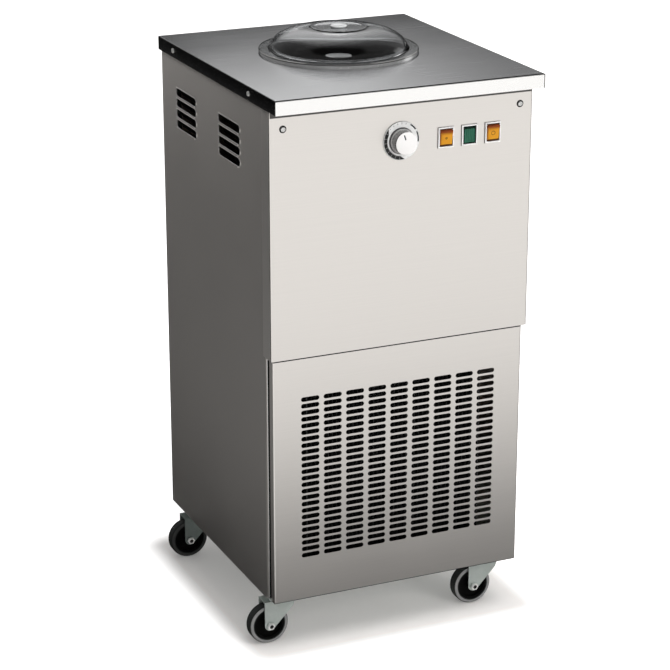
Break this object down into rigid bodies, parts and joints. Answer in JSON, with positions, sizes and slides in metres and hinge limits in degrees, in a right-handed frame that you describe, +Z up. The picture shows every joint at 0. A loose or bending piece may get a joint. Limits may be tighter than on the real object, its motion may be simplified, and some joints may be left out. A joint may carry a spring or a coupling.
{
  "type": "batch ice-cream freezer",
  "caption": "Stainless batch ice-cream freezer on swivel casters, with a clear domed lid over the freezing bowl, a timer, rocker switches and a slotted front grille.",
  "frame": {"origin": "on the floor under the middle of the top plate", "axes": "+Z up, -Y towards the front panel with the controls, +X to the right as seen from the front"},
  "size_m": [0.524, 0.578, 1.0698],
  "materials": {
    "panel_steel": "satin",
    "bowl_steel": "polished",
    "zinc_steel": "satin",
    "machined_steel": "satin",
    "cast_aluminium": "satin",
    "copper": "satin",
    "foam": "matte",
    "dark_paint": "satin",
    "motor_paint": "satin",
    "black_rubber": "matte",
    "black_plastic": "satin",
    "white_plastic": "gloss",
    "amber_plastic": "gloss",
    "green_plastic": "gloss",
    "grey_rubber": "matte",
    "clear_plastic": "gloss",
    "clear_knob": "gloss"
  },
  "bodies": {
    "cabinet": {"base_plate": "zinc_steel", "inner_frame": "zinc_steel", "left_side_panel": "panel_steel", "right_side_panel": "panel_steel", "rear_panel": "panel_steel", "upper_front_panel": "panel_steel", "lower_grille_panel": "panel_steel", "top_plate": "panel_steel", "drive_deck": "zinc_steel", "bowl_ring": "bowl_steel", "freezing_bowl": "bowl_steel", "evaporator_jacket": "copper", "insulation_shell": "foam", "spindle_housing": "cast_aluminium", "spindle_bearings": "machined_steel", "shaft_seal": "black_rubber", "drive_motor": "motor_paint", "drive_belt": "black_rubber", "compressor": "dark_paint", "compressor_feet": "black_rubber", "condenser": "cast_aluminium", "fan_shroud": "dark_paint", "fan_motor": "dark_paint", "filter_drier": "copper", "refrigerant_lines": "copper", "control_box": "zinc_steel", "timer_body": "black_plastic", "timer_dial": "white_plastic", "switch_housings": "white_plastic", "lamp_lens": "green_plastic", "panel_screws": "zinc_steel", "cup_washers": "zinc_steel", "cable_gland": "black_plastic", "caster_plates": "zinc_steel", "caster_bolts": "zinc_steel"},
    "spindle": {"spindle_shaft": "machined_steel", "drive_pulley": "cast_aluminium", "paddle": "bowl_steel", "scraper_blades": "white_plastic", "paddle_nut": "bowl_steel"},
    "motor_rotor": {"motor_shaft": "machined_steel", "motor_pulley": "cast_aluminium"},
    "fan": {"fan_blade": "cast_aluminium"},
    "knob": {"timer_knob": "white_plastic"},
    "switch_left": {"rocker_left": "amber_plastic"},
    "switch_right": {"rocker_right": "amber_plastic"},
    "lid": {"lid_dome": "clear_plastic", "lid_knob": "clear_knob"},
    "swivel_front_left": {"fork_front_left": "zinc_steel"},
    "roller_front_left": {"wheel_front_left": "black_plastic", "tyre_front_left": "grey_rubber"},
    "swivel_front_right": {"fork_front_right": "zinc_steel"},
    "roller_front_right": {"wheel_front_right": "black_plastic", "tyre_front_right": "grey_rubber"},
    "swivel_rear_left": {"fork_rear_left": "zinc_steel"},
    "roller_rear_left": {"wheel_rear_left": "black_plastic", "tyre_rear_left": "grey_rubber"},
    "swivel_rear_right": {"fork_rear_right": "zinc_steel"},
    "roller_rear_right": {"wheel_rear_right": "black_plastic", "tyre_rear_right": "grey_rubber"}
  },
  "joints": [
    {"name": "lid_lift", "type": "slide", "parent": "cabinet", "child": "lid", "axis": [0, 0, 1], "range_m": [0, 0.16]},
    {"name": "paddle_spin", "type": "hinge", "parent": "cabinet", "child": "spindle", "pos_m": [0, 0.028, 0.78], "axis": [0, 0, 1], "continuous": true},
    {"name": "motor_spin", "type": "hinge", "parent": "cabinet", "child": "motor_rotor", "pos_m": [-0.15481, -0.13514, 0.76], "axis": [0, 0, 1], "continuous": true},
    {"name": "fan_spin", "type": "hinge", "parent": "cabinet", "child": "fan", "pos_m": [0, -0.08, 0.3185], "axis": [0, 1, 0], "continuous": true},
    {"name": "timer_turn", "type": "hinge", "parent": "cabinet", "child": "knob", "pos_m": [-0.005, -0.2453, 0.923], "axis": [0, 1, 0], "range_deg": [0, 300]},
    {"name": "left_rocker_tilt", "type": "hinge", "parent": "cabinet", "child": "switch_left", "pos_m": [0.0795, -0.241, 0.92], "axis": [-1, 0, 0], "range_deg": [0, 20]},
    {"name": "right_rocker_tilt", "type": "hinge", "parent": "cabinet", "child": "switch_right", "pos_m": [0.1695, -0.241, 0.92], "axis": [-1, 0, 0], "range_deg": [0, 20]},
    {"name": "caster_swivel_front_left", "type": "hinge", "parent": "cabinet", "child": "swivel_front_left", "pos_m": [-0.205, -0.181, 0.0825], "axis": [0, 0, 1], "continuous": true},
    {"name": "wheel_roll_front_left", "type": "hinge", "parent": "swivel_front_left", "child": "roller_front_left", "pos_m": [-0.234, -0.181, 0.0375], "axis": [0, 1, 0], "continuous": true},
    {"name": "caster_swivel_front_right", "type": "hinge", "parent": "cabinet", "child": "swivel_front_right", "pos_m": [0.205, -0.181, 0.0825], "axis": [0, 0, 1], "continuous": true},
    {"name": "wheel_roll_front_right", "type": "hinge", "parent": "swivel_front_right", "child": "roller_front_right", "pos_m": [0.176, -0.181, 0.0375], "axis": [0, 1, 0], "continuous": true},
    {"name": "caster_swivel_rear_left", "type": "hinge", "parent": "cabinet", "child": "swivel_rear_left", "pos_m": [-0.205, 0.227, 0.0825], "axis": [0, 0, 1], "continuous": true},
    {"name": "wheel_roll_rear_left", "type": "hinge", "parent": "swivel_rear_left", "child": "roller_rear_left", "pos_m": [-0.234, 0.227, 0.0375], "axis": [0, 1, 0], "continuous": true},
    {"name": "caster_swivel_rear_right", "type": "hinge", "parent": "cabinet", "child": "swivel_rear_right", "pos_m": [0.205, 0.227, 0.0825], "axis": [0, 0, 1], "continuous": true},
    {"name": "wheel_roll_rear_right", "type": "hinge", "parent": "swivel_rear_right", "child": "roller_rear_right", "pos_m": [0.176, 0.227, 0.0375], "axis": [0, 1, 0], "continuous": true}
  ],
  "couplings": [
    {"joint": "motor_spin", "follows": "paddle_spin", "ratio": 5}
  ]
}
